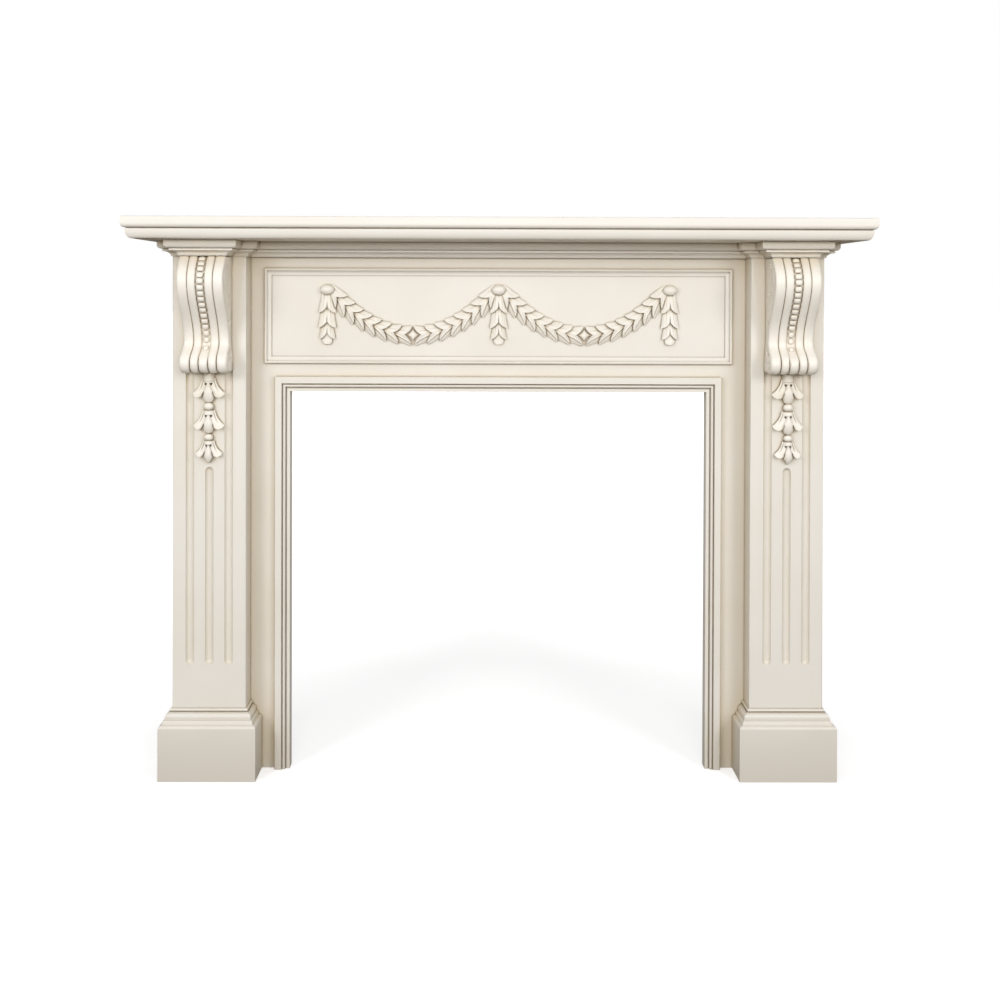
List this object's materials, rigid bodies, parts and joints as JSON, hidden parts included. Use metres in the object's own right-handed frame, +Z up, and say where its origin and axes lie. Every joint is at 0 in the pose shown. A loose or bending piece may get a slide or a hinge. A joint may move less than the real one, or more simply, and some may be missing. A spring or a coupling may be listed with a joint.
{
  "type": "fireplace mantelpiece",
  "caption": "Painted timber fireplace surround with moulded shelf, fluted pilasters on plinths, beaded scroll corbels, husk drops and a frieze panel with leaf swags.",
  "frame": {"origin": "centre of the bounding box's underside, on the hearth midway between the wall plane and the shelf's front edge", "axes": "+Z up, +X to the right of a viewer who faces the fire, +Y towards the wall, so the decorated front faces -Y"},
  "size_m": [1.7, 0.259, 1.324],
  "materials": {
    "board_paint": "cream satin paint on timber boards",
    "moulding_paint": "cream satin paint on run mouldings",
    "carving_paint": "cream satin paint on carved ornament"
  },
  "bodies": {
    "root": {"shelf_board": "board_paint", "shelf_underboard": "moulding_paint", "frieze_board": "board_paint", "left_jamb_board": "board_paint", "right_jamb_board": "board_paint", "frieze_cornice": "moulding_paint", "left_pilaster_front": "board_paint", "right_pilaster_front": "board_paint", "left_pilaster_outer_side": "board_paint", "right_pilaster_outer_side": "board_paint", "left_pilaster_inner_side": "board_paint", "right_pilaster_inner_side": "board_paint", "left_plinth_front": "board_paint", "right_plinth_front": "board_paint", "left_plinth_outer_side": "board_paint", "right_plinth_outer_side": "board_paint", "left_plinth_inner_side": "board_paint", "right_plinth_inner_side": "board_paint", "left_base_moulding_front": "moulding_paint", "right_base_moulding_front": "moulding_paint", "left_base_moulding_outer": "moulding_paint", "right_base_moulding_outer": "moulding_paint", "left_base_moulding_inner": "moulding_paint", "right_base_moulding_inner": "moulding_paint", "left_corbel": "carving_paint", "right_corbel": "carving_paint", "left_cap_front": "moulding_paint", "right_cap_front": "moulding_paint", "left_cap_outer": "moulding_paint", "right_cap_outer": "moulding_paint", "left_cap_inner": "moulding_paint", "right_cap_inner": "moulding_paint", "left_cornice_outer_end": "moulding_paint", "right_cornice_outer_end": "moulding_paint", "left_cornice_outer_front": "moulding_paint", "right_cornice_outer_front": "moulding_paint", "left_cornice_inner_front": "moulding_paint", "right_cornice_inner_front": "moulding_paint", "left_cornice_inner_end": "moulding_paint", "right_cornice_inner_end": "moulding_paint", "left_husk_drop": "carving_paint", "right_husk_drop": "carving_paint", "architrave_head": "moulding_paint", "left_architrave": "moulding_paint", "right_architrave": "moulding_paint", "panel_moulding_top": "moulding_paint", "panel_moulding_bottom": "moulding_paint", "left_panel_moulding": "moulding_paint", "right_panel_moulding": "moulding_paint", "left_swag_drop": "carving_paint", "centre_swag_drop": "carving_paint", "right_swag_drop": "carving_paint", "left_garland": "carving_paint", "right_garland": "carving_paint"}
  },
  "joints": []
}
